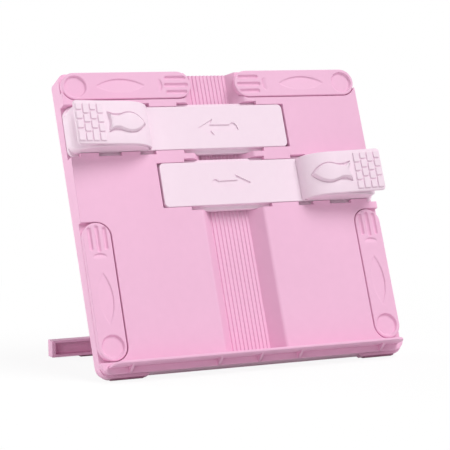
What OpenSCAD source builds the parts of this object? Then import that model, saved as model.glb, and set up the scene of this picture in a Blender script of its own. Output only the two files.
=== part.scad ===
// Book stand: a leaning board with a ribbed spine channel and a page ledge, two sliding arms with
// page clips, four wings that swing out for wide pages, and a rear leg that folds flat.
// Millimetres, +Z up, the board faces -Y. Board frame: x to the right, y up the board from its
// bottom edge, z out of its face.

/* [Board] */
// Width of the board
board_w = 271; // [266:1:300]
// Height of the board along its slope
board_h = 255; // [250:1:280]
// Thickness of the board over its face and back
board_t = 16.5; // [16:0.5:24]
// Radius of the board's bottom corners
corner_r = 9; // [8:0.5:16]
// Radius of the board's top corners, behind the wings
top_corner_r = 6; // [5:0.5:12]
// Thickness of the moulded walls
wall = 2.2; // [1.8:0.1:2.4]
// Rounding of the back edges
back_edge_r = 5; // [3:0.5:5]
// Depth of the rim round the back at the board's top edge
rim_top_d = 24.5; // [18:0.5:28]
// Gap between the rim's bottom edge and the desk
rim_desk_gap = 0.5; // [0.3:0.1:1]
// Angle the board leans back from upright, in degrees
lean = 20.5; // [15:0.5:28]

/* [Spine channel] */
// Width of the channel at the face
channel_top_w = 55; // [46:1:60]
// Width of the channel floor
channel_floor_w = 35; // [34:1:40]
// Depth of the channel floor below the face
channel_d = 12.2; // [11:0.1:12.2]
// Rounding of the channel's top edges
channel_edge_r = 3.5; // [2:0.5:8]
// Number of ribs on the channel floor
rib_count = 10; // [4:1:10]
// Spacing of the ribs
rib_pitch = 3.45; // [2.8:0.05:3.45]
// Height of the ribs
rib_h = 0.8; // [0.4:0.1:1.4]

/* [Sliding arms] */
// Distance of the upper arm's centre line below the board's top edge
upper_arm_drop = 51; // [50:0.5:54]
// Distance between the centre lines of the two arms
arm_spacing = 49.8; // [48:0.1:52]
// Width of an arm's plate
arm_w = 38.2; // [36:0.1:39]
// How far the arm's flange reaches past its plate on each side
arm_flange = 3.1; // [2.5:0.1:3.5]
// Thickness of the plate above the flange
arm_lip_t = 5; // [3:0.1:6]
// Depth of an arm from its plate to its underside
arm_d = 9; // [8:0.1:9]
// Wall of an arm
arm_wall = 2; // [1.5:0.1:2.5]
// Reach of an arm past the centre line at its inner end
arm_inner = 60.5; // [56:0.5:64]
// Distance of an arm's outer end from the board's edge
arm_end_inset = 0.5; // [0:0.1:3]
// Corner radius of an arm's inner end
arm_corner_r = 4; // [2:0.5:6]
// How far an arm slides out
arm_travel = 90; // [86:1:100]
// Gap between an arm's inner end and its pocket
pocket_end_gap = 1.8; // [1:0.1:4]
// Running gap between an arm and its pocket or tabs
slide_gap = 0.35; // [0.3:0.05:0.5]
// Length of the long tabs that hold an arm down
long_tab = 25; // [15:1:28]
// Length of the short tabs near a clip
short_tab = 16; // [10:1:18]
// Distance of the second long tab from the channel
tab_past_channel = 8.5; // [6:0.5:14]
// Distance from the board's edge to the start of the tab under a clip
clip_tab_inset = 60.5; // [56:0.5:64]
// Distance from the board's edge to the start of the outermost tab
edge_tab_inset = 24.5; // [20:0.5:28]

/* [Page clips] */
// Width of a clip
clip_w = 37.6; // [36:0.1:38]
// Length of a clip from its jaw to its grip
clip_len = 70; // [66:0.5:74]
// Distance of the grip's end from the arm's outer end
grip_inset = 0; // [0:0.5:4]
// Height of the grip above the board's face
grip_z = 22; // [18:0.5:23]
// Length of the curve from the jaw up to the grip plate
curve_run = 29; // [26:0.5:31]
// How much the grip plate rises over its length
grip_rise = 4; // [0:0.5:5]
// Thickness of a clip's lever
clip_t = 2.8; // [2:0.1:3]
// Thickness of the jaw's edge
jaw_t = 1.8; // [1:0.1:2]
// Gap between the jaw and the arm at rest
jaw_gap = 0.25; // [0.2:0.05:0.5]
// Distance of a clip's pin from its jaw
clip_pin_in = 33; // [32:0.5:36]
// Height of a clip's pin above the board's face
clip_axis_z = 7; // [6.5:0.5:8]
// Diameter of a clip's pin
clip_pin_d = 3; // [2:0.5:3]
// How far a clip opens, in degrees
clip_open = 12; // [6:1:13]
// Thickness of the clip's lugs and of the housing walls beside them
lug_t = 2.2; // [1.8:0.1:2.6]
// Length of the solid outer end of the clip housing
housing_end = 19; // [17:0.5:20]
// Distance of the clip housing from the jaw
housing_jaw_gap = 3; // [3:0.5:9]
// Distance of the raised fish from the jaw
fish_in = 6; // [4:0.5:10]
// Length of the raised fish
fish_len = 34; // [24:1:35]
// Width of the fish's body
fish_w = 15.6; // [10:0.2:17]
// Width of the fish's tail
fish_tail_w = 12.8; // [10:0.2:16]
// Width of the fish where its tail starts
fish_waist = 7.4; // [4:0.2:8]
// Depth of the notch in the fish's tail
fish_notch = 2; // [1:0.1:3]
// Wire diameter of a clip's spring
spring_wire = 1.1; // [0.8:0.1:1.2]
// Turns of a clip's spring
spring_turns = 5; // [3:1:6]

/* [Wings] */
// Width of a wing
wing_w = 24; // [20:0.5:24]
// Distance from a top wing's pivot to the centre of its round tip
wing_reach = 90.7; // [80:0.1:92]
// Gap between a side wing's recess and the lower arm's pocket
wing_tip_gap = 5.95; // [4:0.05:12]
// Thickness of a wing
wing_t = 4.5; // [4:0.1:5]
// Distance of the pivots from the board's edges
pivot_inset = 12.5; // [12.5:0.1:14]
// Height of the side wings' pivots
side_pivot_y = 22.5; // [21.5:0.5:24]
// Gap round a wing in its recess
wing_gap = 0.5; // [0.4:0.05:0.8]
// Gap under a wing
wing_seat_gap = 0.3; // [0.2:0.05:0.4]
// Diameter of a wing's pivot post
post_d = 10; // [8:0.5:12]
// Diameter of the round recess over a pivot
thumb_d = 19.4; // [16:0.2:20]
// Depth of the surface recesses on a wing
thumb_depth = 1; // [0.4:0.1:1]
// Length of the middle finger groove
groove_len = 22; // [14:1:24]
// Width of a finger groove
groove_w = 3.2; // [2:0.1:4]
// Spacing of the finger grooves
groove_pitch = 6.4; // [5:0.1:7]
// Distance of the middle groove from a wing's tip
groove_end_gap = 2.5; // [1:0.1:4]
// How far each end of the outer grooves stops short of the middle groove
groove_step = 1.5; // [0:0.1:3]

/* [Ledge and feet] */
// Distance of the page ledge's ends from the board's edges
ledge_inset = 6; // [4:0.5:20]
// How far the ledge stands out from the face
ledge_out = 18; // [12:0.5:24]
// Thickness of the ledge
ledge_t = 2.2; // [1.8:0.1:3]
// Height of the ledge's top above the board's bottom edge
ledge_y = 7.2; // [4.6:0.1:8]
// Corner radius of the ledge
ledge_corner_r = 9; // [2:0.5:10]
// How far the gussets reach out under the ledge
gusset_out = 10.8; // [6:0.2:11.8]
// Distance of the inner gussets from the middle gusset
gusset_inner = 36; // [30:1:50]
// Distance of the outer gussets from the middle gusset
gusset_outer = 112; // [90:1:118]
// Length of a foot from the board's side
foot_len = 41.5; // [30:0.5:50]
// Width of a foot from back to front
foot_deep = 6.4; // [5:0.1:6.4]
// Height of a foot step below the board
foot_step = 2.1; // [1.5:0.1:3.5]
// Thickness of a foot pad
pad_t = 1; // [0.9:0.1:2.5]
// Distance of a foot pad from the foot's inner end
pad_inset = 3; // [1:0.5:5]
// How much of a foot pad's corner is flattened by the desk
pad_flat = 0.75; // [0.5:0.05:1]

/* [Rear leg] */
// Distance of the folded leg's foot from the board's bottom edge
fold_margin = 0.5; // [0:0.5:4]
// Length of the leg from its hinge to its foot
leg_len = 161; // [156:0.5:166]
// Width of the leg's upright
leg_w = 60; // [46:1:80]
// Thickness of the leg's upright
leg_t = 9; // [8:0.5:10]
// Distance of the foot bar's ends from the line of the board's sides
bar_inset = 4; // [3:0.5:30]
// Height of the foot bar
bar_h = 14.5; // [12:0.5:20]
// Depth of the foot bar from front to back
bar_depth = 11.5; // [10.5:0.1:14]
// Side of the braces between the upright and the bar
brace = 26; // [10:1:34]
// Number of bays between the leg's inner ribs
leg_bays = 3; // [2:1:5]
// Diameter of the hinge pin
hinge_pin_d = 4; // [3:0.5:5]
// Diameter of the leg's knuckle
knuckle_d = 11; // [10:0.5:12]
// Gap between the knuckle and the back
hinge_gap = 1; // [0.6:0.1:2]
// Thickness of a hinge ear
ear_t = 5; // [4:0.5:7]
// Diameter of the hinge pin's head
pin_head_d = 6.8; // [6:0.1:9]
// Thickness of the hinge pin's head
pin_head_t = 1.5; // [1:0.1:2]
// How far the hinge pin stands out past its ring
pin_tail = 1.2; // [0.5:0.1:2]
// Outer diameter of the ring that holds the hinge pin
pin_ring_d = 7.2; // [6:0.1:9]
// Thickness of the ring
pin_ring_t = 0.8; // [0.5:0.1:1.2]
// Thickness of a friction washer
washer_t = 0.8; // [0.5:0.1:1.2]
// Diameter of a friction washer
washer_d = 10; // [8:0.5:11]
// Thickness of a leg foot pad
leg_pad_t = 1.2; // [0.8:0.1:2]
// Length of a leg foot pad
leg_pad_len = 40; // [20:1:60]
// Distance of a leg foot pad from the bar's end
leg_pad_inset = 26; // [10:1:40]

/* [Screws] */
// Diameter of a cover screw
cover_screw_d = 3; // [2.5:0.5:3.5]
// Diameter of a screw head
screw_head_d = 6; // [5:0.5:6.5]
// Length of a cover screw under its head
cover_screw_len = 9; // [6:0.5:9]
// Diameter of a wing screw
wing_screw_d = 2.8; // [2:0.2:3]
// Diameter of a wing washer
wing_washer_d = 16; // [13:0.5:17]
// Distance of the top cover screws from the centre line
top_screw_x = 75; // [60:1:80]
// Distance of the middle cover screws below the lower arm's pocket
mid_screw_gap = 12.6; // [8:0.1:20]
// Distance of the outer middle cover screws from the centre line
outer_screw_x = 100; // [90:1:103]
// Distance of the inner middle cover screws from the centre line
inner_screw_x = 40; // [36:1:60]
// Distance of the bottom cover screws from the centre line
low_screw_x = 85; // [60:1:88]
// Height of the bottom cover screws
low_screw_y = 13; // [10:1:20]

/* [Hidden] */
$fn = 48;
pink = "#F0BED9";
pale = "#F4E2EE";
steel = "#B9BDC2";
rubber = "#6E5A66";
sides = [-1, 1];
running_gap = 0.05;  // radial gap of a pin that turns in its bore
face_gap = 0.1;      // gap between flat faces that turn past each other
over = 1;            // how far a cut runs past the surface that it opens
half_w = board_w / 2;
upper_arm_y = board_h - upper_arm_drop;
lower_arm_y = upper_arm_y - arm_spacing;
arm_outer = half_w - arm_end_inset;
tray_d = board_t - back_edge_r;
back_z = -board_t;
cover_floor_z = back_z + wall;
channel_floor_t = -cover_floor_z - face_gap - channel_d;
channel_half = channel_floor_w / 2;
slope_angle = atan2(channel_d, channel_top_w / 2 - channel_half);
edge_run = channel_edge_r * tan(slope_angle / 2);
arm_half = arm_w / 2;
flange_half = arm_half + arm_flange;
pocket_half = flange_half + slide_gap;
pocket_d = arm_d + slide_gap;
pocket_floor_t = tray_d - pocket_d;
pocket_inner = arm_inner + pocket_end_gap;
stop_gap = 0.3;
tab_t = arm_lip_t - slide_gap;
tab_starts = [[-pocket_inner - wall / 2, long_tab + wall / 2],
  [channel_top_w / 2 + tab_past_channel, long_tab],
  [half_w - clip_tab_inset, short_tab], [half_w - edge_tab_inset, short_tab]];
wing_r = wing_w / 2;
recess_r = wing_r + wing_gap;
recess_d = wing_t + wing_seat_gap;
side_reach = lower_arm_y - pocket_half - wing_tip_gap - recess_r - side_pivot_y;
recess_floor_z = -recess_d - wall;
recess_end_lip = 5;  // how far below a top pivot the recess opens to the board's side
pivot_x = half_w - pivot_inset;
top_pivot_y = board_h - pivot_inset;
post_end_z = recess_floor_z - face_gap;
wing_washer_t = 1;
screw_head_t = 1.8;
screw_roof = 1;      // plastic left over a wing screw's bore
screw_tip_gap = 0.5;
boss_r = 4;
mid_screw_y = lower_arm_y - pocket_half - mid_screw_gap;
boss_places = [[top_screw_x, top_pivot_y], [outer_screw_x, mid_screw_y],
  [inner_screw_x, mid_screw_y], [low_screw_x, low_screw_y]];
ledge_len = board_w - 2 * ledge_inset;
foot_in = half_w - foot_len;
foot_back_z = -tray_d + face_gap;
foot_front_z = foot_back_z + foot_deep;
pad_drop = foot_step + pad_t;
floor_drop = pad_drop * cos(lean) - foot_back_z * sin(lean) - pad_flat;
rim_low_d = (floor_drop - rim_desk_gap) / sin(lean);

// Page clip: the lever bows up from the jaw, then rises gently to the grip.
grip_x = arm_outer - grip_inset;
jaw_x = grip_x - clip_len;
clip_axis_x = jaw_x + clip_pin_in;
curve_end_x = jaw_x + curve_run;
curve_end_z = grip_z - grip_rise;
lever_steps = 12;
fish_head_x = jaw_x + fish_in;
fish_rise = 2;       // how far the fish stands above the lever
fish_body_share = 0.82;  // share of the fish's length that its body takes
fish_close_share = 0.98; // share at which the body's curve would close behind the tail
fish_bluntness = 0.8;
lever_gap = 0.6;
housing_in = arm_half - lug_t;
housing_start_x = jaw_x + housing_jaw_gap;
housing_past_pin = 6;    // how far past the pin the housing follows the lever
housing_floor_z = 0.4;
housing_end_x = arm_outer - housing_end;
grip_stop_w = 12;
lug_out = housing_in - slide_gap;
pin_cover = 0.8;
pin_half = arm_half - pin_cover;
spring_bore_gap = 0.5;
spring_turn_gap = 0.6;
spring_seat_gap = 0.15;
spring_r = clip_pin_d / 2 + spring_bore_gap + spring_wire / 2;
spring_pitch = spring_wire + spring_turn_gap;

// Rear leg: its tilt follows from where its foot meets the desk.
hinge_y = leg_len + fold_margin;
axis_back = board_t + hinge_gap + knuckle_d / 2;
axis_world_z = hinge_y * cos(lean) - axis_back * sin(lean) + floor_drop;
bar_front = leg_t / 2;
foot_reach = sqrt(leg_len * leg_len + bar_front * bar_front);
leg_tilt = atan2(bar_front, leg_len) + acos((axis_world_z - leg_pad_t) / foot_reach);
fold_angle = lean + leg_tilt;
bar_top = bar_h * cos(leg_tilt) - leg_len;
leg_wall = wall;
heel_edge = 1;
heel_gap = 0.3;
heel_len = (axis_back - board_t - heel_gap + heel_edge * cos(fold_angle)) / sin(fold_angle);
ear_in = leg_w / 2 + washer_t + 2 * face_gap;
bar_len = board_w - 2 * bar_inset;
bar_end_wall = 3.3;
leg_pad_out = bar_len / 2 - leg_pad_inset;
leg_pad_margin = 0.5;

// The origin is under the middle of the stand's box.
front_y = (ledge_y - ledge_t) * sin(lean) - ledge_out * cos(lean);
axis_world_y = hinge_y * sin(lean) + axis_back * cos(lean);
foot_y = axis_world_y + leg_len * sin(leg_tilt) - bar_front * cos(leg_tilt);
rear_y = foot_y + bar_depth;
mid_y = (front_y + rear_y) / 2;

echo(fold_angle = fold_angle, leg_tilt = leg_tilt, mid_y = mid_y, floor_drop = floor_drop);
echo(hinge = [0, axis_world_y - mid_y, axis_world_z]);
echo(upper_clip_axis = on_board_point([-clip_axis_x, upper_arm_y, clip_axis_z]));
echo(lower_clip_axis = on_board_point([clip_axis_x, lower_arm_y, clip_axis_z]));
echo(top_pivot = on_board_point([pivot_x, top_pivot_y, 0]));
echo(side_pivot = on_board_point([pivot_x, side_pivot_y, 0]));
echo(spring_gap = spring_gap());

// Places
function on_board_point(p) = [p[0],
  p[1] * sin(lean) - p[2] * cos(lean) - mid_y,
  p[1] * cos(lean) + p[2] * sin(lean) + floor_drop];

module on_board() {
  translate([0, -mid_y, floor_drop]) rotate([90 - lean, 0, 0]) children();
}

module on_leg() {
  translate([0, axis_world_y - mid_y, axis_world_z]) rotate([90 + leg_tilt, 0, 0]) children();
}

// Arm frame: x runs from the centre line toward the arm's outer end.
module on_arm(side, y) {
  on_board() translate([0, y, 0]) mirror([side < 0 ? 1 : 0, 0, 0]) children();
}

// Wing frame: x runs from the pivot to the tip, y toward the open side of the recess.
module wing_place(side, top) {
  mirror([side > 0 ? 1 : 0, 0, 0])
    translate([-pivot_x, top ? top_pivot_y : side_pivot_y, 0])
      rotate([0, 0, top ? 0 : 90]) children();
}

// Shapes
module block(x, y, z) {
  translate([x[0], y[0], z[0]]) cube([x[1] - x[0], y[1] - y[0], z[1] - z[0]]);
}

module along_y(y0, y1) {
  translate([0, y1, 0]) rotate([90, 0, 0]) linear_extrude(y1 - y0) children();
}

module along_x(x0, x1) {
  translate([x0, 0, 0]) rotate([90, 0, 90]) linear_extrude(x1 - x0) children();
}

module between(z0, z1) {
  translate([0, 0, z0]) linear_extrude(z1 - z0) children();
}

module pin_along_y(d, y0, y1) {
  translate([0, y1, 0]) rotate([90, 0, 0]) cylinder(d = d, h = y1 - y0);
}

module pin_along_x(d, x0, x1) {
  translate([x0, 0, 0]) rotate([0, 90, 0]) cylinder(d = d, h = x1 - x0);
}

// A rectangle with round corners, one radius at its left end and one at its right end
module round_rect(x, y, left_r, right_r) {
  translate([x[0] + left_r, y[0]]) square([x[1] - x[0] - left_r - right_r, y[1] - y[0]]);
  translate([x[0], y[0] + left_r]) square([left_r, y[1] - y[0] - 2 * left_r]);
  translate([x[1] - right_r, y[0] + right_r]) square([right_r, y[1] - y[0] - 2 * right_r]);
  for (end = [0, 1]) {
    translate([x[0] + left_r, end ? y[1] - left_r : y[0] + left_r]) circle(left_r);
    translate([x[1] - right_r, end ? y[1] - right_r : y[0] + right_r]) circle(right_r);
  }
}

module outline(inset) {
  rotate(90) round_rect([inset, board_h - inset], [inset - half_w, half_w - inset],
    corner_r - inset, top_corner_r - inset);
}

// A section of the board seen from its edge: square at the face, round at the back
module edge_section(x0, x1) {
  r = back_edge_r;
  translate([x0, back_z + r]) square([x1 - x0, board_t - r]);
  translate([x0 + r, back_z]) square([x1 - x0 - 2 * r, r]);
  translate([x0 + r, back_z + r]) circle(r);
  translate([x1 - r, back_z + r]) circle(r);
}

module board_slab() {
  intersection() {
    between(back_z, 0) outline(0);
    along_y(-over, board_h + over) edge_section(-half_w, half_w);
    along_x(-half_w - over, half_w + over) edge_section(0, board_h);
  }
}

module at_bosses() {
  for (place = boss_places, side = sides) {
    translate([side * place[0], place[1], 0]) children();
  }
}

function arc(centre, r, from, to, steps) = [for (i = [0:steps])
  let (a = from + (to - from) * i / steps) centre + r * [cos(a), sin(a)]];

// Right half of the channel's section, from its floor up to the face
function channel_side() = concat([[channel_half, -channel_d]],
  arc([channel_top_w / 2 + edge_run, -channel_edge_r], channel_edge_r, 90 + slope_angle, 90, 8),
  [[channel_top_w / 2 + edge_run, over]]);

function rib_points() = [for (i = [0:rib_count - 1])
  let (x = (i - (rib_count - 1) / 2) * rib_pitch, w = rib_pitch / 4)
  each [[x - w - rib_h / 4, -channel_d], [x - w + rib_h / 4, rib_h - channel_d],
    [x + w - rib_h / 4, rib_h - channel_d], [x + w + rib_h / 4, -channel_d]]];

function flipped(points) = [for (i = [len(points) - 1:-1:0]) [-points[i][0], points[i][1]]];

module channel_section() {
  polygon(concat(flipped(channel_side()), rib_points(), channel_side()));
}

// The moulding round the channel, which stays when the board is hollowed
module channel_wall_section() {
  top = channel_top_w / 2 + edge_run + wall;
  low = channel_half + wall;
  deep = channel_d + channel_floor_t;
  polygon([[-top, 0], [-top, -wall], [-low, -deep], [low, -deep], [top, -wall], [top, 0]]);
}

module pocket(grow, deep) {
  block([-pocket_inner - grow, half_w + over], [-pocket_half - grow, pocket_half + grow], [-deep, over]);
}

module pocket_place(side, y) {
  translate([0, y, 0]) mirror([side < 0 ? 1 : 0, 0, 0]) children();
}

module both_pockets(grow, deep) {
  pocket_place(-1, upper_arm_y) pocket(grow, deep);
  pocket_place(1, lower_arm_y) pocket(grow, deep);
}

// The outer side of a recess, open to the board's edge
module open_side(reach, end_open) {
  between(-recess_d, over) {
    translate([-recess_r, 0]) square([reach + 2 * recess_r, 2 * recess_r]);
    if (end_open) {
      translate([-2 * recess_r, -recess_end_lip]) square([2 * recess_r, 3 * recess_r]);
    }
  }
}

// A recess is round on its inner side.
module recess_cut(reach, end_open) {
  between(-recess_d, over) {
    circle(recess_r);
    translate([reach, 0]) circle(recess_r);
    translate([0, -recess_r]) square([reach, 2 * recess_r]);
  }
  open_side(reach, end_open);
  translate([0, 0, recess_floor_z - over]) cylinder(d = post_d + 2 * running_gap, h = wall + 2 * over);
}

module recess_wall(reach) {
  r = recess_r + wall;
  block([-2 * r, reach + r], [-r, 3 * r], [recess_floor_z, over]);
}

module all_wing_places() {
  for (side = sides) {
    wing_place(side, true) children(0);
    wing_place(side, false) children(1);
  }
}

// Front board
module board_hollow() {
  difference() {
    between(-tray_d - over, -wall) outline(wall);
    along_y(-over, board_h + over) channel_wall_section();
    both_pockets(wall, pocket_d + pocket_floor_t);
    all_wing_places() {
      recess_wall(wing_reach);
      recess_wall(side_reach);
    }
    at_bosses() translate([0, 0, cover_floor_z]) cylinder(r = boss_r, h = board_t);
  }
}

module channel_keel() {
  half = channel_half + wall;
  intersection() {
    board_slab();
    block([-half, half], [wall + face_gap, board_h], [-channel_d - channel_floor_t, -tray_d / 2]);
  }
}

module tabs(edge) {
  inner = arm_half + slide_gap;
  outer = pocket_half + wall / 2;
  for (tab = tab_starts) {
    block([tab[0], tab[0] + tab[1]], edge > 0 ? [inner, outer] : [-outer, -inner], [-tab_t, 0]);
  }
}

module ledge() {
  half = ledge_len / 2;
  corner = ledge_corner_r;
  along_edge = ledge_y - ledge_t;
  translate([0, ledge_y, 0]) rotate([90, 0, 0]) linear_extrude(ledge_t) {
    translate([-half, -wall]) square([ledge_len, ledge_out + wall - corner]);
    translate([corner - half, 0]) square([ledge_len - 2 * corner, ledge_out]);
    for (side = sides) translate([side * (half - corner), ledge_out - corner]) circle(corner);
  }
  for (x = [-gusset_outer, -gusset_inner, 0, gusset_inner, gusset_outer]) {
    along_x(x - wall / 2, x + wall / 2)
      polygon([[0, -wall / 2], [along_edge, -wall / 2], [along_edge, gusset_out], [0, 0]]);
  }
}

// A post in the pocket stops the arm's inner end wall when the arm is pulled out.
module arm_stop() {
  x = arm_wall - arm_inner + arm_travel + stop_gap;
  block([x, x + wall], [-arm_half / 2, arm_half / 2], [-pocket_d - pocket_floor_t / 2, -arm_d / 2]);
}

// A foot carries the board's round corner down by its step and slopes up at its inner end.
module feet() {
  for (side = sides) mirror([side < 0 ? 1 : 0, 0, 0]) between(foot_back_z, foot_front_z) difference() {
    intersection() {
      translate([0, -foot_step]) outline(0);
      polygon([[foot_in, wall], [foot_in, 0], [foot_in + foot_step, -foot_step],
        [half_w, -foot_step], [half_w, corner_r], [half_w - corner_r, corner_r], [half_w - corner_r, wall]]);
    }
    outline(wall);
  }
}

module front_board() {
  color(pink) on_board() {
    difference() {
      union() {
        between(-tray_d, 0) outline(0);
        channel_keel();
        at_bosses() translate([0, 0, cover_floor_z]) cylinder(r = boss_r, h = tray_d);
      }
      board_hollow();
      along_y(ledge_y, board_h + over) channel_section();
      both_pockets(0, pocket_d);
      all_wing_places() {
        recess_cut(wing_reach, true);
        recess_cut(side_reach, false);
      }
      at_bosses() translate([0, 0, cover_floor_z - over])
        cylinder(d = cover_screw_d + 2 * running_gap, h = cover_screw_len - wall + screw_head_t + over);
    }
    for (edge = sides) {
      pocket_place(-1, upper_arm_y) tabs(edge);
      pocket_place(1, lower_arm_y) tabs(edge);
    }
    pocket_place(-1, upper_arm_y) arm_stop();
    pocket_place(1, lower_arm_y) arm_stop();
    ledge();
    feet();
  }
}

// Back cover with the leg's hinge ears
module ear_section() {
  tall = knuckle_d / 2;
  translate([hinge_y, -axis_back]) circle(tall);
  polygon([[hinge_y - tall, -axis_back], [hinge_y + tall, -axis_back],
    [hinge_y + 2 * tall, back_z], [hinge_y - 2 * tall, back_z]]);
}

// A rim round the back that gets deeper toward the board's top edge
module back_rim() {
  intersection() {
    between(-rim_top_d, 0) difference() {
      outline(0);
      outline(wall);
    }
    along_x(-half_w - over, half_w + over)
      polygon([[0, 0], [0, -rim_low_d], [board_h, -rim_top_d], [board_h, 0]]);
  }
}

module back_cover() {
  keel = channel_half + wall + face_gap;
  color(pink) on_board() {
    difference() {
      union() {
        board_slab();
        back_rim();
      }
      block([-half_w - over, half_w + over], [-over, board_h + over], [-tray_d, over]);
      between(cover_floor_z, over) outline(wall);
      block([-keel, keel], [board_h / 2, board_h + over], [cover_floor_z, over]);
      at_bosses() translate([0, 0, back_z - over]) {
        cylinder(d = cover_screw_d + 2 * running_gap, h = wall + 2 * over);
        cylinder(d = screw_head_d + 2 * face_gap, h = screw_head_t + over);
      }
    }
    for (side = sides) mirror([side < 0 ? 1 : 0, 0, 0]) difference() {
      along_x(ear_in, ear_in + ear_t) ear_section();
      translate([0, hinge_y, -axis_back]) pin_along_x(hinge_pin_d, ear_in - over, ear_in + ear_t + over);
    }
  }
}

module cover_screws() {
  color(steel) on_board() at_bosses() translate([0, 0, back_z]) {
    difference() {
      cylinder(d = screw_head_d, h = screw_head_t);
      translate([0, 0, -over]) cylinder(d = screw_head_d / 3, h = over + screw_head_t / 2);
    }
    cylinder(d = cover_screw_d, h = cover_screw_len);
  }
}

module front_foot_pads() {
  inner = foot_in + foot_step + pad_inset;
  outer = half_w - corner_r;
  color(rubber) intersection() {
    on_board() for (side = sides) mirror([side < 0 ? 1 : 0, 0, 0])
      block([inner, outer], [-pad_drop, -foot_step], [foot_back_z, foot_front_z]);
    block([-board_w, board_w], [-board_h, board_h], [0, board_h]);
  }
}

// Sliding arms
module arm_plan(half) {
  round_rect([-arm_inner, arm_outer], [-half, half], arm_corner_r, 2 * arm_corner_r);
}

// Side of a clip's housing: it follows the lever to past the pin, then rounds down to the arm's end.
module housing_section() {
  steps = 12;
  past_x = clip_axis_x + housing_past_pin;
  rise = [for (i = [0:steps]) let (x = housing_start_x + (past_x - housing_start_x) * i / steps)
    [x, housing_limit(x)]];
  fall = [for (i = [1:steps]) let (a = 90 * i / steps, x = past_x + (arm_outer - past_x) * sin(a))
    [x, min(housing_limit(x), housing_limit(past_x) * cos(a))]];
  polygon(concat([[housing_start_x, -arm_lip_t]], rise, fall, [[arm_outer, -arm_lip_t]]));
}

// Height that keeps the housing clear of the lever, shut or open
function housing_limit(x) = min(lever_low(x), open_lever_low(x)) - lever_gap;

// The space for the clip's lugs and spring, between the housing's walls
module housing_hollow() {
  block([housing_start_x - over, housing_end_x], [-housing_in, housing_in], [housing_floor_z, grip_z]);
}

// A ridge that the lever's underside meets when the clip is fully open
module grip_stop() {
  x = housing_end_x;
  block([x, x + wall], [-grip_stop_w / 2, grip_stop_w / 2], [-arm_wall, open_lever_low(x + wall) - stop_gap]);
}

module arm_shape() {
  inside = arm_half - arm_wall;
  difference() {
    union() {
      between(-arm_lip_t, 0) arm_plan(arm_half);
      between(-arm_d, -arm_lip_t) arm_plan(flange_half);
      intersection() {
        along_y(-arm_half, arm_half) housing_section();
        between(-arm_lip_t, grip_z) arm_plan(arm_half);
      }
      grip_stop();
    }
    housing_hollow();
    block([arm_wall - arm_inner, arm_outer - 2 * arm_corner_r], [-inside, inside],
      [-arm_d - over, -arm_wall]);
    translate([clip_axis_x, 0, clip_axis_z]) pin_along_y(clip_pin_d, -pin_half, pin_half);
  }
}

module upper_arm() { color(pale) on_arm(-1, upper_arm_y) arm_shape(); }
module lower_arm() { color(pale) on_arm(1, lower_arm_y) arm_shape(); }

// Page clips
function smooth(t) = let (s = max(0, min(1, t))) s * s * (3 - 2 * s);

// Height of a quarter circle, from 0 at its upright side to 1 at its level top
function bow(t) = let (s = 1 - max(0, min(1, t))) sqrt(1 - s * s);

// The lever bows up from its jaw and then rises evenly to its grip.
function lever_top(x) = jaw_gap + (curve_end_z - jaw_gap) * bow((x - jaw_x) / curve_run)
  + grip_rise * max(0, x - curve_end_x) / (grip_x - curve_end_x);

function lever_low(x) = x > curve_end_x ? lever_top(x) - clip_t
  : jaw_gap + (curve_end_z - jaw_gap - clip_t) * bow((x - jaw_x - jaw_t) / (curve_run - jaw_t));

// Underside of the grip plate when the clip is fully open
function open_lever_low(x) = let (
  rest = atan2(grip_z - curve_end_z, grip_x - curve_end_x),
  off = (lever_low(clip_axis_x) - clip_axis_z) * cos(rest))
  clip_axis_z + off / cos(rest - clip_open) + (x - clip_axis_x) * tan(rest - clip_open);

// Points of the lever's top, from the jaw to the grip, raised by lift
function lever_line(lift) = [for (i = [0:lever_steps + 1])
  let (x = i > lever_steps ? grip_x : curve_end_x - curve_run * cos(90 * i / lever_steps))
  [x, lever_top(x) + lift]];

function lever_underline() = [for (i = [lever_steps + 1:-1:0])
  let (x = i > lever_steps ? grip_x : curve_end_x - (curve_run - jaw_t) * cos(90 * i / lever_steps))
  [x, lever_low(x)]];

module lever_section() {
  polygon(concat(lever_line(0), lever_underline()));
}

module lug_section() {
  r = clip_pin_d / 2 + lug_t;
  translate([clip_axis_x, clip_axis_z]) circle(r);
  polygon([[clip_axis_x - r, clip_axis_z], [clip_axis_x + r, clip_axis_z],
    [clip_axis_x + r, lever_low(clip_axis_x + r) + clip_t / 4],
    [clip_axis_x - r, lever_low(clip_axis_x - r) + clip_t / 4]]);
}

// Fish outline: a lens-shaped body with a forked tail, its head toward the jaw
function fish_half(t) = t < fish_body_share
  ? fish_w / 2 * sin(180 * pow(t / fish_close_share, fish_bluntness))
  : (fish_waist + (fish_tail_w - fish_waist) * smooth((t - fish_body_share) / (1 - fish_body_share))) / 2;

module fish_plan() {
  steps = 22;
  upper = [for (i = [0:steps]) [fish_head_x + fish_len * i / steps, fish_half(i / steps)]];
  polygon(concat(upper, [[fish_head_x + fish_len - fish_notch, 0]],
    [for (i = [steps:-1:1]) [upper[i][0], -upper[i][1]]]));
}

module clip_shape() {
  difference() {
    union() {
      along_y(-clip_w / 2, clip_w / 2) lever_section();
      along_y(lug_out - lug_t, lug_out) lug_section();
      along_y(-lug_out, lug_t - lug_out) lug_section();
      intersection() {
        between(0, grip_z + fish_rise) fish_plan();
        along_y(-clip_w / 2, clip_w / 2) polygon(concat(lever_line(fish_rise), lever_underline()));
      }
    }
    translate([clip_axis_x, 0, clip_axis_z])
      pin_along_y(clip_pin_d + 2 * running_gap, -lug_out - face_gap, lug_out + face_gap);
  }
}

module clip_pin_shape() {
  translate([clip_axis_x, 0, clip_axis_z]) pin_along_y(clip_pin_d, -pin_half, pin_half);
}

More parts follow.
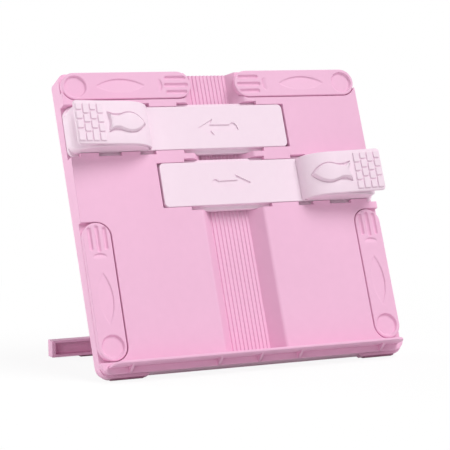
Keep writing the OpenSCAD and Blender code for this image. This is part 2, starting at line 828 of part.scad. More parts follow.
module upper_clip() { color(pale) on_arm(-1, upper_arm_y) clip_shape(); }
module lower_clip() { color(pale) on_arm(1, lower_arm_y) clip_shape(); }
module upper_clip_pin() { color(steel) on_arm(-1, upper_arm_y) clip_pin_shape(); }
module lower_clip_pin() { color(steel) on_arm(1, lower_arm_y) clip_pin_shape(); }

// Torsion spring: one unbroken wire with a leg on the seat and a leg toward the grip
spring_rings = 8;
leg_low_z = housing_floor_z + spring_wire / 2 + spring_seat_gap - clip_axis_z;
spring_bend_x = 6.6;
spring_legs = [13.2, 4.8];

function coil_point(turn) = [spring_r * sin(360 * turn), (turn - spring_turns / 2) * spring_pitch,
  -spring_r * cos(360 * turn)];

function spring_path() = concat(
  [[spring_legs[0], -spring_turns / 2 * spring_pitch, leg_low_z],
    [spring_bend_x, -spring_turns / 2 * spring_pitch, (leg_low_z - spring_r) / 2]],
  [for (i = [spring_rings / 4:spring_turns * spring_rings]) coil_point(i / spring_rings)],
  [[spring_legs[1], spring_turns / 2 * spring_pitch, -spring_r]]);

function unit(v) = v / norm(v);

// A wire swept along points that lie in planes nearly square to Y
module wire(points, d, count) {
  last = len(points) - 1;
  ahead = [for (i = [0:last]) unit(points[min(i + 1, last)] - points[max(i - 1, 0)])];
  across = [for (t = ahead) unit(cross(t, [0, 1, 0]))];
  rings = [for (i = [0:last], k = [0:count - 1]) let (a = 360 * k / count)
    points[i] + d / 2 * (cos(a) * across[i] + sin(a) * cross(ahead[i], across[i]))];
  skin = [for (i = [0:last - 1], k = [0:count - 1])
    let (n = (k + 1) % count, a = i * count, b = a + count)
    each [[a + k, a + n, b + k], [a + n, b + n, b + k]]];
  end = last * count;
  caps = [for (k = [1:count - 2]) each [[0, k + 1, k], [end, end + k, end + k + 1]]];
  polyhedron(rings, concat(skin, caps));
}

function spring_gap() = let (p = spring_path(), n = len(p), apart = spring_rings - 2)
  min([for (i = [0:n - 1], j = [i + apart:1:n - 1]) norm(p[i] - p[j])]) - spring_wire;

module spring_shape() {
  translate([clip_axis_x, 0, clip_axis_z]) wire(spring_path(), spring_wire, 6);
}

module upper_clip_spring() { color(steel) on_arm(-1, upper_arm_y) spring_shape(); }
module lower_clip_spring() { color(steel) on_arm(1, lower_arm_y) spring_shape(); }

// Wings
module groove(reach, y, short) {
  end = reach + wing_r - groove_end_gap - short;
  length = groove_len - 2 * short;
  r = groove_w / 2;
  translate([0, y, 0]) between(-thumb_depth, over) {
    translate([end - length + r, -r]) square([length - 2 * r, groove_w]);
    translate([end - length + r, 0]) circle(r);
    translate([end - r, 0]) circle(r);
  }
}

module wing_shape(reach) {
  difference() {
    union() {
      between(-wing_t, 0) {
        circle(wing_r);
        translate([reach, 0]) circle(wing_r);
        translate([0, -wing_r]) square([reach, wing_w]);
      }
      translate([0, 0, post_end_z]) cylinder(d = post_d, h = -post_end_z - wing_t / 2);
    }
    translate([0, 0, -thumb_depth]) cylinder(d = thumb_d, h = thumb_depth + over);
    translate([0, 0, post_end_z - over])
      cylinder(d = wing_screw_d + 2 * running_gap, h = -post_end_z - thumb_depth - screw_roof + over);
    groove(reach, 0, 0);
    for (side = sides) groove(reach, side * groove_pitch, groove_step);
  }
}

module wing_washer_shape() {
  translate([0, 0, post_end_z - wing_washer_t]) difference() {
    cylinder(d = wing_washer_d, h = wing_washer_t);
    translate([0, 0, -over]) cylinder(d = wing_screw_d + 2 * running_gap, h = wing_washer_t + 2 * over);
  }
}

module wing_screw_shape() {
  head_z = post_end_z - wing_washer_t - screw_head_t;
  translate([0, 0, head_z]) {
    difference() {
      cylinder(d = screw_head_d, h = screw_head_t);
      translate([0, 0, -over]) cylinder(d = screw_head_d / 3, h = over + screw_head_t / 2);
    }
    cylinder(d = wing_screw_d, h = -head_z - thumb_depth - screw_roof - screw_tip_gap);
  }
}

module top_left_wing() { color(pink) on_board() wing_place(-1, true) wing_shape(wing_reach); }
module top_right_wing() { color(pink) on_board() wing_place(1, true) wing_shape(wing_reach); }
module left_wing() { color(pink) on_board() wing_place(-1, false) wing_shape(side_reach); }
module right_wing() { color(pink) on_board() wing_place(1, false) wing_shape(side_reach); }
module top_left_wing_washer() { color(steel) on_board() wing_place(-1, true) wing_washer_shape(); }
module top_right_wing_washer() { color(steel) on_board() wing_place(1, true) wing_washer_shape(); }
module left_wing_washer() { color(steel) on_board() wing_place(-1, false) wing_washer_shape(); }
module right_wing_washer() { color(steel) on_board() wing_place(1, false) wing_washer_shape(); }
module top_left_wing_screw() { color(steel) on_board() wing_place(-1, true) wing_screw_shape(); }
module top_right_wing_screw() { color(steel) on_board() wing_place(1, true) wing_screw_shape(); }
module left_wing_screw() { color(steel) on_board() wing_place(-1, false) wing_screw_shape(); }
module right_wing_screw() { color(steel) on_board() wing_place(1, false) wing_screw_shape(); }

// Rear leg: leg frame has its origin on the hinge, y up the leg, z toward the board
// The foot bar stands upright on the desk while the leg slopes.
module bar_place() {
  translate([-leg_len, bar_front]) rotate(-leg_tilt) children();
}

module bar_section() {
  bar_place() translate([0, -bar_depth]) square([bar_h, bar_depth]);
}

module bar_hollow_section() {
  bar_place() translate([leg_wall, leg_wall - bar_depth]) square([bar_h - 2 * leg_wall, bar_depth]);
}

module heel_section() {
  r = knuckle_d / 2;
  polygon([[-r, -r], [heel_len - heel_edge, -r], [heel_len, -heel_edge], [0, -heel_edge], [-r, 0]]);
}

module leg_braces() {
  half = leg_w / 2;
  root = bar_top - leg_wall;
  between(-leg_t / 2, leg_wall - leg_t / 2)
    polygon([[-half - brace, bar_top], [-half - brace, root], [half + brace, root],
      [half + brace, bar_top], [half, bar_top + brace], [-half, bar_top + brace]]);
}

module rear_leg() {
  top = -knuckle_d / 2 - hinge_gap;
  half = leg_w / 2;
  bay = (top - leg_wall - bar_top) / leg_bays;
  color(pink) on_leg() difference() {
    union() {
      difference() {
        block([-half, half], [-leg_len, top], [-leg_t / 2, leg_t / 2]);
        for (i = [0:leg_bays - 1]) {
          block([leg_wall - half, half - leg_wall], [bar_top + i * bay, bar_top + (i + 1) * bay - leg_wall],
            [leg_wall - leg_t / 2, leg_t]);
        }
      }
      pin_along_x(knuckle_d, -half, half);
      block([-half, half], [top - leg_wall, 0], [-leg_t / 2, -leg_t / 2 + knuckle_d / 2]);
      along_x(-half, half) heel_section();
      leg_braces();
      difference() {
        along_x(-bar_len / 2, bar_len / 2) bar_section();
        along_x(half + leg_wall, bar_len / 2 - bar_end_wall) bar_hollow_section();
        along_x(bar_end_wall - bar_len / 2, -half - leg_wall) bar_hollow_section();
      }
    }
    pin_along_x(hinge_pin_d + 2 * running_gap, -half - over, half + over);
  }
}

module leg_hinge_pin() {
  end = ear_in + ear_t;
  color(steel) on_leg() {
    pin_along_x(hinge_pin_d, -end, end + pin_ring_t + pin_tail);
    pin_along_x(pin_head_d, -end - pin_head_t, -end);
  }
}

module leg_pin_clip() {
  end = ear_in + ear_t;
  color(steel) on_leg() difference() {
    pin_along_x(pin_ring_d, end, end + pin_ring_t);
    pin_along_x(hinge_pin_d, end - over, end + pin_ring_t + over);
  }
}

module leg_hinge_washers() {
  start = leg_w / 2 + face_gap;
  color(steel) on_leg() for (side = sides) mirror([side < 0 ? 1 : 0, 0, 0]) difference() {
    pin_along_x(washer_d, start, start + washer_t);
    pin_along_x(hinge_pin_d + 2 * running_gap, start - over, start + washer_t + over);
  }
}

module leg_foot_pads() {
  front = foot_y - mid_y + leg_pad_margin;
  color(rubber) for (side = sides) mirror([side < 0 ? 1 : 0, 0, 0])
    block([leg_pad_out - leg_pad_len, leg_pad_out],
      [front, front + bar_depth - 2 * leg_pad_margin], [0, leg_pad_t]);
}

front_board();
back_cover();
cover_screws();
front_foot_pads();
upper_arm();
upper_clip();
upper_clip_pin();
upper_clip_spring();
lower_arm();
lower_clip();
lower_clip_pin();
lower_clip_spring();
top_left_wing();
top_left_wing_washer();
top_left_wing_screw();
top_right_wing();
top_right_wing_washer();
top_right_wing_screw();
left_wing();
left_wing_washer();
left_wing_screw();
right_wing();
right_wing_washer();
right_wing_screw();
rear_leg();
leg_hinge_pin();
leg_hinge_washers();
leg_pin_clip();
leg_foot_pads();
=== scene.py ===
"""Looks of a pink plastic book stand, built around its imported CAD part.

Pieces are drawn in millimetres, in the board, arm and wing frames of the CAD source, and are put
into the part's own frame, in metres, when they are finished.
"""

import math

import bmesh
import bpy
import numpy as np
from mathutils import Matrix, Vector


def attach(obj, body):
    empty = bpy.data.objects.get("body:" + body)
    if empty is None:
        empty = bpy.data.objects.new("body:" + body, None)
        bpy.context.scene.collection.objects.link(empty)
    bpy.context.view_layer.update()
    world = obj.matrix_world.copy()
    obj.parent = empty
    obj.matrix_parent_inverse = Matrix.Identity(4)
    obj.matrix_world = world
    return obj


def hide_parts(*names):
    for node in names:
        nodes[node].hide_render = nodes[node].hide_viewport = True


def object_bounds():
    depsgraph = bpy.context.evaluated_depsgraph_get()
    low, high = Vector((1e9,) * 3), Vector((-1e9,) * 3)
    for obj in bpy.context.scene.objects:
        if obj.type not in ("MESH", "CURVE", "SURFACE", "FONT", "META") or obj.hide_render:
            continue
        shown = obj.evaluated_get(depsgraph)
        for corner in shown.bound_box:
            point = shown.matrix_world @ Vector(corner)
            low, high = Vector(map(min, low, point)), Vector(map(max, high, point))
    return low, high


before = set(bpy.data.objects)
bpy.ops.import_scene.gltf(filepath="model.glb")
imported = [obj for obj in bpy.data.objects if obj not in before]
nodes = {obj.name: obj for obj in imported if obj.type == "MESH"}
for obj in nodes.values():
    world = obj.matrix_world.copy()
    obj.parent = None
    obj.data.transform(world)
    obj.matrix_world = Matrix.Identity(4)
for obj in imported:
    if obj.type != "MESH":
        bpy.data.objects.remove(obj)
cad_low, cad_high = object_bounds()
scene = bpy.context.scene

MM = 0.001

# Places, repeated from the CAD source
LEAN = math.radians(20.5)
BOARD_ORIGIN = (0, -68.8246, 6.14605)
UPPER_ARM_Y = 204
LOWER_ARM_Y = 154.2
PIVOT_X = 123
TOP_PIVOT_Y = 242.5
SIDE_PIVOT_Y = 22.5

PART = Matrix.Scale(MM, 4)
BOARD = (
    PART
    @ Matrix.Translation(BOARD_ORIGIN)
    @ Matrix.Rotation(math.pi / 2 - LEAN, 4, "X")
)
MIRROR_X = Matrix.Scale(-1, 4, (1, 0, 0))


def arm_place(side, y):
    """Arm frame: x runs from the centre line to the arm's outer end."""
    flip = MIRROR_X if side < 0 else Matrix.Identity(4)
    return BOARD @ Matrix.Translation((0, y, 0)) @ flip


def wing_place(side, top):
    """Wing frame: x runs from the pivot to the tip, y to the open side of the recess."""
    flip = MIRROR_X if side > 0 else Matrix.Identity(4)
    at = (-PIVOT_X, TOP_PIVOT_Y if top else SIDE_PIVOT_Y, 0)
    turn = Matrix.Rotation(0 if top else math.pi / 2, 4, "Z")
    return BOARD @ flip @ Matrix.Translation(at) @ turn


# Camera, at the photograph's angle
CAMERA_AT = (-0.5622, -1.29475, 0.21788)
CAMERA_RIGHT = (0.91602, -0.40061, -0.02061)
CAMERA_UP = (0.04828, 0.0591, 0.99708)
CAMERA_BACK = (-0.39823, -0.91434, 0.07347)
CAMERA_LENS = 133.4
CAMERA_SENSOR = 36
CAMERA_CLIP = (0.01, 100)


def make_camera():
    data = bpy.data.cameras.new("photo_camera")
    data.lens = CAMERA_LENS
    data.sensor_width = CAMERA_SENSOR
    data.clip_start, data.clip_end = CAMERA_CLIP
    camera = bpy.data.objects.new("photo_camera", data)
    scene.collection.objects.link(camera)
    columns = zip(CAMERA_RIGHT, CAMERA_UP, CAMERA_BACK, CAMERA_AT)
    camera.matrix_world = Matrix([*columns, (0, 0, 0, 1)])
    scene.camera = camera


# Node helpers
NOISE_LOW, NOISE_HIGH = 0.3, 0.7    # the part of a noise's range that is put to use
RANGE_SOCKETS = ("From Min", "From Max", "To Min", "To Max")


def linear(*srgb):
    """A linear colour from 8 bit sRGB values."""
    parts = [v / 255 for v in srgb]
    return [v / 12.92 if v <= 0.04045 else ((v + 0.055) / 1.055) ** 2.4 for v in parts] + [1]


def object_place(tree):
    return tree.nodes.new("ShaderNodeTexCoord").outputs["Object"]


def noise(tree, scale, detail, where):
    node = tree.nodes.new("ShaderNodeTexNoise")
    node.inputs["Scale"].default_value = scale
    node.inputs["Detail"].default_value = detail
    tree.links.new(where, node.inputs["Vector"])
    return node.outputs["Fac"]


def combine(tree, operation, *values):
    """A math node over sockets and plain numbers."""
    node = tree.nodes.new("ShaderNodeMath")
    node.operation = operation
    for socket, value in zip(node.inputs, values):
        if isinstance(value, (int, float)):
            socket.default_value = value
        else:
            tree.links.new(value, socket)
    return node.outputs[0]


def remap(tree, value, *limits):
    """A value taken from one range to another: from low, from high, to low, to high."""
    node = tree.nodes.new("ShaderNodeMapRange")
    for socket, limit in zip(RANGE_SOCKETS, limits):
        node.inputs[socket].default_value = limit
    tree.links.new(value, node.inputs["Value"])
    return node.outputs["Result"]


def paint(tree, shader, value, dark, light):
    """Colours a shader by a noise value, between two colours."""
    node = tree.nodes.new("ShaderNodeValToRGB")
    stops = node.color_ramp.elements
    stops[0].position, stops[0].color = NOISE_LOW, dark
    stops[1].position, stops[1].color = NOISE_HIGH, light
    tree.links.new(value, node.inputs["Fac"])
    tree.links.new(node.outputs["Color"], shader.inputs["Base Color"])


def roughen(tree, shader, value, low, high):
    """Varies a shader's roughness by a noise value."""
    rough = remap(tree, value, NOISE_LOW, NOISE_HIGH, low, high)
    tree.links.new(rough, shader.inputs["Roughness"])


def add_bump(tree, shader, height, strength, distance):
    node = tree.nodes.new("ShaderNodeBump")
    node.inputs["Strength"].default_value = strength
    node.inputs["Distance"].default_value = distance
    tree.links.new(height, node.inputs["Height"])
    tree.links.new(node.outputs["Normal"], shader.inputs["Normal"])


def new_material(name):
    material = bpy.data.materials.new(name)
    material.use_nodes = True
    tree = material.node_tree
    return material, tree, tree.nodes["Principled BSDF"]


# Materials. Noise scales are per metre, bump heights in metres
FLOW_SCALE, FLOW_SHARE = 9, 0.65          # broad colour drift of the moulding
MOTTLE_SCALE, MOTTLE_SHARE = 140, 0.35    # finer cloudiness in the resin
GRAIN_SCALE = 1700                        # spark-eroded surface grain
GRAIN_STRENGTH, GRAIN_HEIGHT = 0.25, 0.00004
PLASTIC_SPECULAR = 0.15
ZINC_SCALE = 900
ZINC_ROUGH = (0.25, 0.4)
ZINC_STRENGTH, ZINC_HEIGHT = 0.15, 0.00003
PEBBLE_SCALE = 1100
PEBBLE_ROUGH = (0.7, 0.9)
PEBBLE_STRENGTH, PEBBLE_HEIGHT = 0.5, 0.00008


def plastic(name, light, dark, rough_low, rough_high):
    """Satin moulded plastic: slow colour drift, uneven soft gloss and a fine surface grain."""
    material, tree, shader = new_material(name)
    where = object_place(tree)
    flow = noise(tree, FLOW_SCALE, 2, where)
    mottle = noise(tree, MOTTLE_SCALE, 3, where)
    grain = noise(tree, GRAIN_SCALE, 2, where)
    flow = combine(tree, "MULTIPLY", flow, FLOW_SHARE)
    paint(tree, shader, combine(tree, "MULTIPLY_ADD", mottle, MOTTLE_SHARE, flow), dark, light)
    roughen(tree, shader, mottle, rough_low, rough_high)
    add_bump(tree, shader, grain, GRAIN_STRENGTH, GRAIN_HEIGHT)
    shader.inputs["Specular IOR Level"].default_value = PLASTIC_SPECULAR
    return material


def metal(name, light, dark):
    """Zinc-plated steel, clouded and slightly uneven."""
    material, tree, shader = new_material(name)
    zinc = noise(tree, ZINC_SCALE, 4, object_place(tree))
    paint(tree, shader, zinc, dark, light)
    roughen(tree, shader, zinc, *ZINC_ROUGH)
    add_bump(tree, shader, zinc, ZINC_STRENGTH, ZINC_HEIGHT)
    shader.inputs["Metallic"].default_value = 1
    return material


def soft_rubber(name, light, dark):
    """Matt foot rubber with a pebbled skin."""
    material, tree, shader = new_material(name)
    pebble = noise(tree, PEBBLE_SCALE, 3, object_place(tree))
    paint(tree, shader, pebble, dark, light)
    roughen(tree, shader, pebble, *PEBBLE_ROUGH)
    add_bump(tree, shader, pebble, PEBBLE_STRENGTH, PEBBLE_HEIGHT)
    return material


PINK = plastic("pink_plastic", linear(244, 192, 221), linear(239, 187, 216), 0.42, 0.52)
PALE = plastic("pale_plastic", linear(248, 227, 240), linear(245, 222, 236), 0.4, 0.5)
STEEL = metal("steel", linear(200, 203, 207), linear(170, 174, 180))
RUBBER = soft_rubber("rubber", linear(128, 84, 104), linear(106, 68, 85))
PINK_RUBBER = soft_rubber("pink_rubber", linear(178, 122, 150), linear(160, 104, 132))
NODE_FINISH = {"front_foot_pads": PINK_RUBBER, "leg_foot_pads": RUBBER}    # the rest is steel


# Mesh helpers, in millimetres
MERGE = 0.001
NEAR = 0.02     # a point this close to a plane counts as on it
SHARP = math.radians(38)
FLAT = math.radians(0.5)
NARROW = 2.2    # faces narrower than this belong to a rounded edge or a curve


def add_piece(name, bm, place, material, body, *stood_for):
    """Puts a drawn mesh into the part's frame as a piece that rides on a body."""
    bmesh.ops.remove_doubles(bm, verts=bm.verts, dist=MERGE)
    bm.transform(place)
    bmesh.ops.recalc_face_normals(bm, faces=bm.faces)
    for face in bm.faces:
        face.smooth = True
    mark_sharp(bm)
    mesh = bpy.data.meshes.new(name)
    bm.to_mesh(mesh)
    bm.free()
    mesh.materials.append(material)
    piece = bpy.data.objects.new(name, mesh)
    scene.collection.objects.link(piece)
    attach(piece, body)
    if stood_for:
        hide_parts(*stood_for)


def mark_sharp(bm):
    """Keeps creases, and the borders of broad flat faces, out of the smooth shading."""
    def broad(face):
        return 2 * face.calc_area() / face.calc_perimeter() > NARROW * MM

    for edge in bm.edges:
        if len(edge.link_faces) == 2:
            angle = edge.calc_face_angle(0)
            flat = any(broad(face) for face in edge.link_faces)
            edge.smooth = angle < (FLAT if flat else SHARP)


def band(bm, low, high):
    """A closed band of faces between two loops of vertices."""
    count = len(low)
    for k in range(count):
        n = (k + 1) % count
        bm.faces.new((low[k], low[n], high[n], high[k]))


def stack(bm, rings):
    """A closed skin over rings of points, with a flat cap at each end."""
    made = [[bm.verts.new(p) for p in ring] for ring in rings]
    for low, high in zip(made, made[1:]):
        band(bm, low, high)
    bm.faces.new(reversed(made[0]))
    bm.faces.new(made[-1])


def carve(bm, tool):
    """Cuts one mesh out of another."""
    pair = []
    for part in (bm, tool):
        mesh = bpy.data.meshes.new("carve")
        part.to_mesh(mesh)
        part.free()
        pair.append(bpy.data.objects.new("carve", mesh))
        scene.collection.objects.link(pair[-1])
    cut = pair[0].modifiers.new("cut", "BOOLEAN")
    cut.operation = "DIFFERENCE"
    cut.solver = "EXACT"
    cut.object = pair[1]
    left = bmesh.new()
    left.from_object(pair[0], bpy.context.evaluated_depsgraph_get())
    for used in pair:
        bpy.data.meshes.remove(used.data)
    return left


def quarter(r, steps):
    """(sideways inset, rise) pairs round a quarter circle, from the wall to the flat."""
    turns = [math.pi / 2 * i / steps for i in range(steps + 1)]
    return [(r - r * math.cos(a), r * math.sin(a)) for a in turns]


def round_section(half, low, high, r, steps):
    """A rectangle with round corners, as (y, z) points in order."""
    points = []
    corners = [(half - r, low + r, -90), (half - r, high - r, 0),
               (r - half, high - r, 90), (r - half, low + r, 180)]
    for y, z, start in corners:
        for i in range(steps + 1):
            a = math.radians(start + 90 * i / steps)
            points.append((y + r * math.cos(a), z + r * math.sin(a)))
    return points


def corner(d, r):
    """How far a round corner of radius r draws in at distance d from its end."""
    return r - math.sqrt(max(0, r * r - (r - min(d, r)) ** 2))


def smooth(t):
    """An even step from 0 to 1."""
    s = np.clip(t, 0, 1)
    return s * s * (3 - 2 * s)


# Wings: a stadium plate with a round recess, a lens, a crescent and three finger grooves
WING_R = 11.9
WING_SHIFT = 0.35    # a wing sits toward the open side of its recess
WING_REACH = 90.7
WING_T = 4.72
WING_EDGE = 0.9
WING_STEP = 0.55
WING_ROWS = 76
WING_END_STEPS = 17
POST_R = 5
POST_END = -7.1
POST_SIDES = 40
BORE_R = 1.45
BORE_END = -2.4
ROUND_R = 9.7
ROUND_DEPTH = 1.9
ROUND_WALL = 1.3
LENS_MID = 39.3
LENS_HALF = 22
LENS_RISE = 6.4
LENS_DEPTH = 1.2
LENS_WALL = 0.8
CRESCENT_TIP = 77
CRESCENT_R = 8.5
CRESCENT_HALF = 6.5
CRESCENT_FADE = 5
CRESCENT_SIDE_FADE = 2
CRESCENT_DEPTH = 1.3
GROOVE_HALF = 1.6
GROOVE_DEPTH = 1.6
GROOVE_RIM = 1.08    # where a groove's wall starts, in half widths from its middle line
GROOVE_WALL = 0.75   # how far that wall runs inward, in half widths
GROOVES = [(0, 78.2, 100.2), (-6.4, 79.7, 98.7), (6.4, 79.7, 98.7)]    # y, start, end


def wing_height(x, y, lens_side):
    """Height of a wing's face over its plan, as arrays. One edge of the lens is its deepest."""
    inset = WING_R - np.hypot(x - np.clip(x, 0, WING_REACH), y - WING_SHIFT)
    past = np.clip(WING_EDGE - inset, 0, WING_EDGE)
    z = np.sqrt(WING_EDGE**2 - past**2) - WING_EDGE
    z -= ROUND_DEPTH * smooth((ROUND_R - np.hypot(x, y)) / ROUND_WALL)
    radius = (LENS_HALF**2 + LENS_RISE**2) / (2 * LENS_RISE)
    reach = np.hypot(x - LENS_MID, np.abs(y) + radius - LENS_RISE)
    slant = np.clip((lens_side * y + LENS_RISE) / (2 * LENS_RISE), 0, 1)
    z -= LENS_DEPTH * slant * smooth((radius - reach) / LENS_WALL)
    arc = np.hypot(x - CRESCENT_TIP + CRESCENT_R, y)
    fade = smooth((x - CRESCENT_TIP + CRESCENT_FADE) / CRESCENT_FADE)
    fade = fade * smooth((CRESCENT_HALF - np.abs(y)) / CRESCENT_SIDE_FADE)
    z -= CRESCENT_DEPTH * fade * smooth((CRESCENT_R - arc) / LENS_WALL)
    for middle, start, end in GROOVES:
        centre = np.clip(x, start + GROOVE_HALF, end - GROOVE_HALF)
        off = np.hypot(x - centre, y - middle) / GROOVE_HALF
        z -= GROOVE_DEPTH * np.sqrt(smooth((GROOVE_RIM - off) / GROOVE_WALL))
    return z


def wing_stations():
    """Places along a wing, closer together round its ends."""
    turns = np.linspace(0, math.pi / 2, WING_END_STEPS + 1)
    straight = np.linspace(0, WING_REACH, round(WING_REACH / WING_STEP) + 1)
    near = -WING_R * np.cos(turns)
    far = WING_REACH + WING_R * np.sin(turns)
    return np.concatenate([near[:-1], straight, far[1:]])


def circle(bm, r, z, sides):
    ring = [bm.verts.new((r * math.cos(a), r * math.sin(a), z))
            for a in np.linspace(0, 2 * math.pi, sides, endpoint=False)]
    return [bm.edges.new((ring[k], ring[k - 1])) for k in range(sides)]


def carry(bm, edges, z, scale=1):
    """Extrudes a loop of edges to height z, scaled about the pivot, and returns the new loop."""
    made = bmesh.ops.extrude_edge_only(bm, edges=edges)["geom"]
    for v in (g for g in made if isinstance(g, bmesh.types.BMVert)):
        v.co = (v.co.x * scale, v.co.y * scale, z)
    return [g for g in made if isinstance(g, bmesh.types.BMEdge) and g.is_boundary]


def make_wing(name, side, top, lens_side):
    x = wing_stations()
    half = np.sqrt(np.maximum(0, WING_R**2 - (x - np.clip(x, 0, WING_REACH)) ** 2))
    across = np.sin(np.linspace(-math.pi / 2, math.pi / 2, WING_ROWS + 1))
    grid_x = np.repeat(x[:, None], len(across), 1)
    grid_y = WING_SHIFT + half[:, None] * across[None, :]
    grid_z = wing_height(grid_x, grid_y, lens_side)
    bm = bmesh.new()
    points = np.stack([grid_x, grid_y, grid_z], -1).reshape(-1, 3)
    made = [bm.verts.new(p) for p in points]
    row = len(across)
    for i in range(len(x) - 1):
        for j in range(row - 1):
            a = i * row + j
            bm.faces.new((made[a], made[a + row], made[a + row + 1], made[a + 1]))
    bmesh.ops.remove_doubles(bm, verts=bm.verts, dist=MERGE)
    bmesh.ops.dissolve_degenerate(bm, edges=bm.edges, dist=MERGE)
    rim = carry(bm, [e for e in bm.edges if e.is_boundary], -WING_T)
    post = circle(bm, POST_R, -WING_T, POST_SIDES)
    bmesh.ops.triangle_fill(bm, edges=rim + post)
    post = carry(bm, post, POST_END)
    post = carry(bm, post, POST_END, BORE_R / POST_R)
    post = carry(bm, post, BORE_END)
    bmesh.ops.contextual_create(bm, geom=post)
    add_piece(name + "_plate", bm, wing_place(side, top), PINK, name, name)


# Page clips: a bowed lever with a raised fish, grip bricks and two lugs
CLIP_HALF = 18.8
JAW_X = 65
GRIP_X = 135
CURVE_RUN = 29
CURVE_END = JAW_X + CURVE_RUN
JAW_GAP = 0.25
CURVE_TOP = 18
GRIP_RISE = 4
JAW_T = 1.8
CLIP_T = 2.8
LEVER_EDGE = 1.1
LEVER_EDGE_STEPS = 4
LEVER_EDGE_SHARE = 0.49    # most of the lever's thickness that one rounded edge may take
LEAST_EDGE = 0.02
GRIP_CORNER = 3
GRIP_END_STEPS = 7
GRIP_END_EXTRA = [1.4, 1.9, 2.4]    # further stations round the corner, from the grip's end
GRIP_END_MARGIN = 0.7
BOW_STEPS = 36
FLAT_STEPS = 24
PIN_X, PIN_Z = 98, 7
PIN_BORE_R = 1.55
LUG_R = 3.7
LUG_Y = (14.35, 16.55)
LUG_SIDES = 48


def bow(t):
    return math.sqrt(1 - (1 - min(1, max(0, t))) ** 2)


def lever_top(x):
    rise = GRIP_RISE * max(0, x - CURVE_END) / (GRIP_X - CURVE_END)
    return JAW_GAP + (CURVE_TOP - JAW_GAP) * bow((x - JAW_X) / CURVE_RUN) + rise


def lever_low(x):
    if x > CURVE_END:
        return lever_top(x) - CLIP_T
    run = bow((x - JAW_X - JAW_T) / (CURVE_RUN - JAW_T))
    return JAW_GAP + (CURVE_TOP - JAW_GAP - CLIP_T) * run


def lever_stations():
    """(x outside, x inside, side inset, edge inset) along a lever, from its jaw to its grip."""
    stations = []
    for i in range(BOW_STEPS):
        c = math.cos(math.pi / 2 * i / BOW_STEPS)
        stations.append((CURVE_END - CURVE_RUN * c, CURVE_END - (CURVE_RUN - JAW_T) * c, 0, 0))
    ends = [d for d, rise in quarter(LEVER_EDGE, GRIP_END_STEPS)] + GRIP_END_EXTRA + [GRIP_CORNER]
    xs = list(np.linspace(CURVE_END, GRIP_X - GRIP_CORNER - GRIP_END_MARGIN, FLAT_STEPS))
    xs += [GRIP_X - d for d in sorted({round(d, 4) for d in ends}, reverse=True)]
    for x in xs:
        left = GRIP_X - x
        stations.append((x, x, corner(left, GRIP_CORNER), corner(left, LEVER_EDGE)))
    return stations


def draw_lever(bm):
    rings = []
    for out_x, in_x, side, edge in lever_stations():
        out_z, in_z = lever_top(out_x), lever_low(in_x)
        thick = math.hypot(out_x - in_x, out_z - in_z)
        r = max(min(LEVER_EDGE, LEVER_EDGE_SHARE * thick - edge), LEAST_EDGE)
        ring = []
        for y, h in round_section(CLIP_HALF - side, edge, thick - edge, r, LEVER_EDGE_STEPS):
            share = h / thick
            ring.append((in_x + (out_x - in_x) * share, y, in_z + (out_z - in_z) * share))
        rings.append(ring)
    stack(bm, rings)


# The fish lies with its head toward the jaw, in a shallow moat
FISH_X = 72.1
FISH_LEN = 34.5
FISH_W = 17
FISH_TAIL_W = 16.6
FISH_WAIST = 11.2
FISH_NOTCH = 1.6
FISH_RISE = 2.6
FISH_SLANT = 1.6
FISH_EDGE = 0.35
FISH_ROOT = 1.8
FISH_STEPS = 44
FISH_CROWDING = 1.3    # above 1, stations crowd toward the head
FISH_BLUNTNESS = 0.8
FISH_CLOSE = 0.98      # share of the length at which the body's curve would close
FISH_BELLY = 0.5       # behind this share the tail can be wider than the body's curve
FISH_TAIL = 0.82       # share of the length at which the tail starts to spread
FISH_NUDGE = 0.01      # share of the length over which a slope is taken
MOAT_W = 0.8
MOAT_DEPTH = 1.3
MOAT_WAIST = 13.5
MOAT_TOP = 5

# (inset, rise) of each layer
FISH_LEVELS = [
    (0, -FISH_ROOT),
    (0, 0),
    (FISH_SLANT - FISH_EDGE, FISH_RISE - FISH_EDGE),
    (FISH_SLANT - 0.2 * FISH_EDGE, FISH_RISE - 0.15 * FISH_EDGE),
    (FISH_SLANT + FISH_EDGE, FISH_RISE),
]
MOAT_LEVELS = [(-MOAT_W, -MOAT_DEPTH), (-MOAT_W, MOAT_TOP)]


def fish_half(t, waist):
    body = FISH_W / 2 * math.sin(math.pi * min(1, t / FISH_CLOSE) ** FISH_BLUNTNESS)
    flare = float(smooth((t - FISH_TAIL) / (1 - FISH_TAIL)))
    tail = (waist + (FISH_TAIL_W - waist) * flare) / 2
    return max(body, tail) if t > FISH_BELLY else body


def fish_side(inset, waist):
    """(x, half width) along the fish, drawn in by inset."""
    points = []
    for t in np.linspace(0, 1, FISH_STEPS + 1) ** FISH_CROWDING:
        ahead = fish_half(min(1, t + FISH_NUDGE), waist)
        behind = fish_half(max(0, t - FISH_NUDGE), waist)
        slope = (ahead - behind) / (2 * FISH_NUDGE * FISH_LEN)
        long = math.hypot(1, slope)
        x = FISH_X + FISH_LEN * t + inset * slope / long
        x = min(max(x, FISH_X + inset), FISH_X + FISH_LEN - max(inset, 0))
        points.append((x, max(0, fish_half(t, waist) - inset / long)))
    return points


